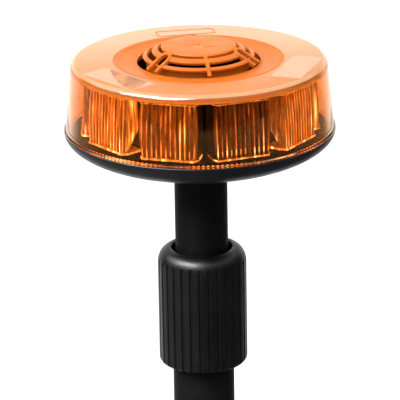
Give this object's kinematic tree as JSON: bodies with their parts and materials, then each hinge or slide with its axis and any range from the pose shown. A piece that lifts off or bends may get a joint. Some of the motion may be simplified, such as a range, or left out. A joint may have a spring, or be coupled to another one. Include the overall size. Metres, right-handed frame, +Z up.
{
  "type": "led warning beacon on a telescopic pole",
  "caption": "Low round amber LED beacon on a telescopic black pole with a fluted twist-lock collar and a round bolt-down foot.",
  "frame": {"origin": "middle of the foot's underside, on the surface it stands on", "axes": "+Z up the pole, -Y the front of the head, +X to its right as the front is looked at"},
  "size_m": [0.1522, 0.1522, 0.4171],
  "materials": {
    "lens_amber": "clear amber polycarbonate, polished",
    "cap_amber": "amber polycarbonate, fine satin top",
    "optic_clear": "clear moulded optic, polished",
    "board_white": "white solder mask",
    "circuit": "green solder mask",
    "white_plastic": "white moulded, satin",
    "core_plastic": "black moulded, satin",
    "bowl_plastic": "black moulded, satin",
    "collar_plastic": "black moulded, fine grain",
    "nylon": "black nylon, matte",
    "rubber": "black moulded rubber",
    "tube_paint": "black powder coat, low sheen",
    "foot_paint": "black powder coat, fine texture",
    "neck_metal": "die cast",
    "screw_steel": "zinc plated"
  },
  "bodies": {
    "pole": {"foot_pad": "rubber", "foot_flange": "foot_paint", "cable_grommet": "rubber", "lower_tube": "tube_paint", "grub_screw_1": "screw_steel", "grub_screw_2": "screw_steel", "clamp_body": "nylon", "collar_clip": "screw_steel", "wiper_seal": "rubber"},
    "collar": {"lock_collar": "collar_plastic"},
    "wedge": {"wedge_ring": "nylon"},
    "guide": {"guide_bush": "nylon"},
    "mast": {"upper_tube": "tube_paint", "neck_pin": "screw_steel", "neck_socket": "neck_metal", "neck_screw_1": "screw_steel", "neck_screw_2": "screw_steel", "neck_screw_3": "screw_steel", "base_bowl": "bowl_plastic", "base_screw_1": "screw_steel", "base_screw_2": "screw_steel", "base_screw_3": "screw_steel", "base_screw_4": "screw_steel", "base_plate": "core_plastic", "core_housing": "core_plastic", "driver_board": "circuit", "vent_membrane": "rubber", "top_reflector": "white_plastic", "led_board_1": "board_white", "led_board_2": "board_white", "led_board_3": "board_white", "led_board_4": "board_white", "led_board_5": "board_white", "led_board_6": "board_white", "led_board_7": "board_white", "led_board_8": "board_white", "led_board_9": "board_white", "led_board_10": "board_white", "optic_1": "optic_clear", "optic_2": "optic_clear", "optic_3": "optic_clear", "optic_4": "optic_clear", "optic_5": "optic_clear", "optic_6": "optic_clear", "optic_7": "optic_clear", "optic_8": "optic_clear", "optic_9": "optic_clear", "optic_10": "optic_clear", "lens_seal": "rubber", "lens": "lens_amber", "vent_cap": "cap_amber"}
  },
  "joints": [
    {"name": "collar_twist", "type": "hinge", "parent": "pole", "child": "collar", "pos_m": [0, 0, 0.264], "axis": [0, 0, 1], "range_deg": [0, 180]},
    {"name": "wedge_slide", "type": "slide", "parent": "pole", "child": "wedge", "axis": [0, 0, 1], "range_m": [0, 0.0016]},
    {"name": "mast_slide", "type": "slide", "parent": "pole", "child": "guide", "axis": [0, 0, 1], "range_m": [-0.04, 0.12]},
    {"name": "mast_turn", "type": "hinge", "parent": "guide", "child": "mast", "pos_m": [0, 0, 0.128], "axis": [0, 0, 1], "range_deg": [-170, 170]}
  ],
  "couplings": [
    {"joint": "wedge_slide", "follows": "collar_twist", "m_per_rad": 0.00047746}
  ]
}
